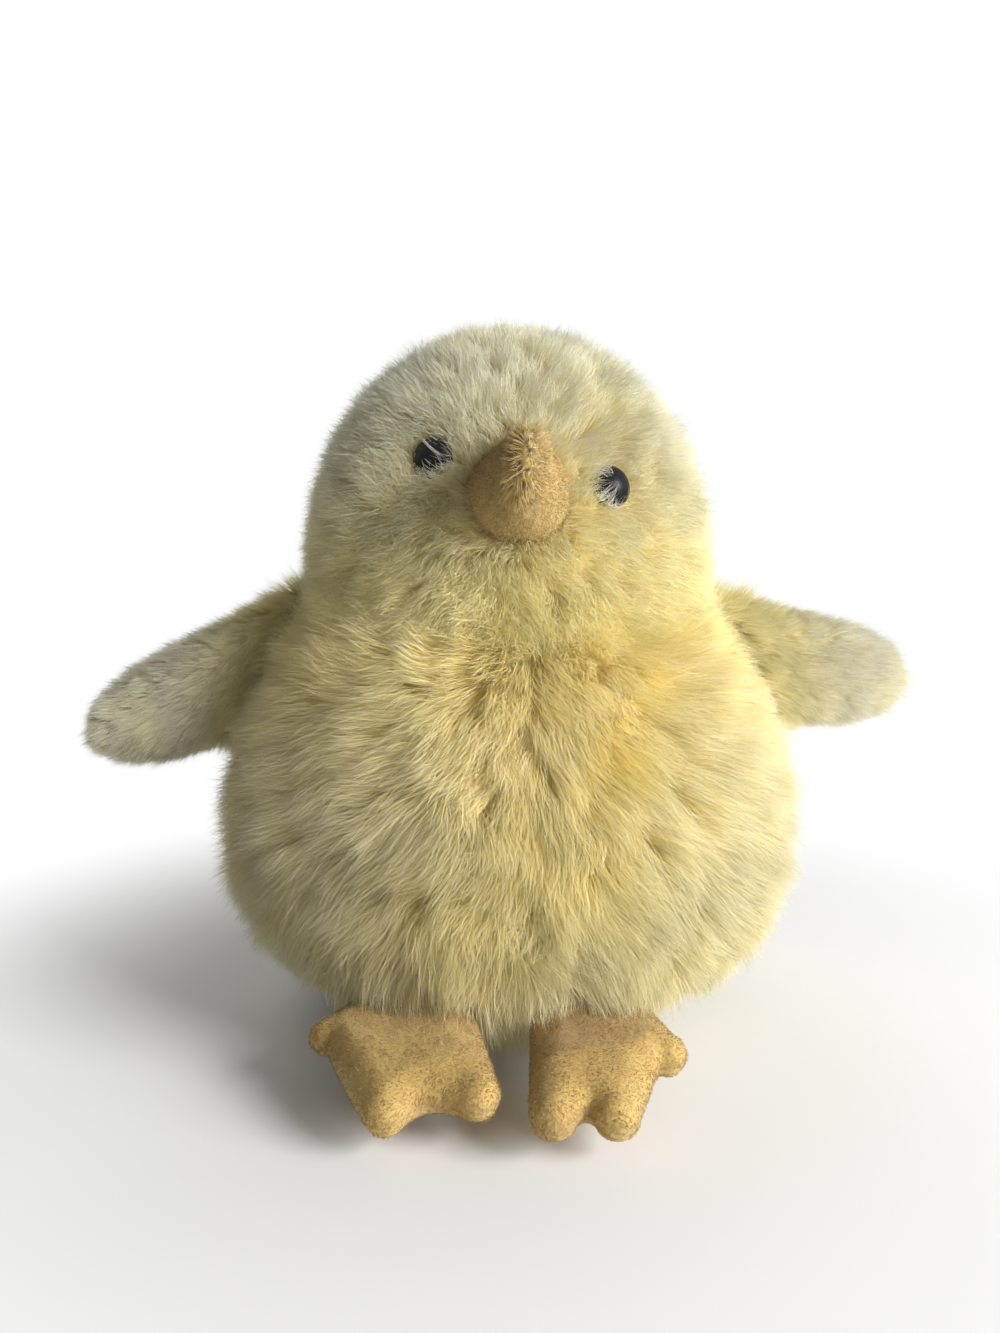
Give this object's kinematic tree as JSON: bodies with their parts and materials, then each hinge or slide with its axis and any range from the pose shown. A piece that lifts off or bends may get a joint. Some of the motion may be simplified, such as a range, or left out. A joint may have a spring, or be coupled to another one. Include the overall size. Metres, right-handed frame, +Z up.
{
  "type": "plush chick",
  "caption": "Sitting plush chick: long-pile egg body, round head, suede beak, glossy button eyes, padded wings and webbed feet that swing on their seams; rests on a flat base.",
  "frame": {"origin": "centre of the flat seat under the body, on the surface that the chick sits on", "axes": "+Z up through the head, -Y the way the chick faces, +X towards the chick's own left"},
  "size_m": [0.1536, 0.1122, 0.1204],
  "materials": {
    "body_pile": "long cream pile over a golden yellow ground",
    "base_pile": "cream pile, flattened where it sits",
    "head_pile": "fuzzy cream pile",
    "wing_pile": "short smooth cream pile",
    "beak_suede": "napped tan suede cloth",
    "foot_suede": "napped tan suede cloth with worn patches",
    "fibre_fill": "loose white polyester fibre",
    "eye_gloss": "polished black",
    "washer_plastic": "natural moulded"
  },
  "bodies": {
    "body": {"body_left_panel": "body_pile", "body_right_panel": "body_pile", "base_panel": "base_pile", "body_stuffing": "fibre_fill", "crown_gusset": "head_pile", "head_left_panel": "head_pile", "head_right_panel": "head_pile", "head_stuffing": "fibre_fill", "beak_cover": "beak_suede", "beak_stuffing": "fibre_fill", "left_eye": "eye_gloss", "left_eye_washer": "washer_plastic", "right_eye": "eye_gloss", "right_eye_washer": "washer_plastic"},
    "left_wing": {"left_wing_front_panel": "wing_pile", "left_wing_back_panel": "wing_pile", "left_wing_stuffing": "fibre_fill"},
    "right_wing": {"right_wing_front_panel": "wing_pile", "right_wing_back_panel": "wing_pile", "right_wing_stuffing": "fibre_fill"},
    "left_foot": {"left_foot_upper": "foot_suede", "left_foot_sole": "foot_suede", "left_foot_stuffing": "fibre_fill"},
    "right_foot": {"right_foot_upper": "foot_suede", "right_foot_sole": "foot_suede", "right_foot_stuffing": "fibre_fill"}
  },
  "joints": [
    {"name": "left_wing_seam", "type": "hinge", "parent": "body", "child": "left_wing", "pos_m": [0.04433, 0, 0.0615], "axis": [0.4067, 0, -0.9135], "range_deg": [-45, 70], "stiffness_Nm_per_rad": 0.002},
    {"name": "right_wing_seam", "type": "hinge", "parent": "body", "child": "right_wing", "pos_m": [-0.04482, 0, 0.0604], "axis": [0.4067, 0, 0.9135], "range_deg": [-65, 50], "stiffness_Nm_per_rad": 0.002},
    {"name": "left_foot_seam", "type": "hinge", "parent": "body", "child": "left_foot", "pos_m": [0.01284, -0.04298, 0.01108], "axis": [-0.9667, -0.256, 0], "range_deg": [-10, 40], "stiffness_Nm_per_rad": 0.002},
    {"name": "right_foot_seam", "type": "hinge", "parent": "body", "child": "right_foot", "pos_m": [-0.01592, -0.04206, 0.01108], "axis": [-0.948, 0.3181, 0], "range_deg": [-10, 40], "stiffness_Nm_per_rad": 0.002}
  ]
}
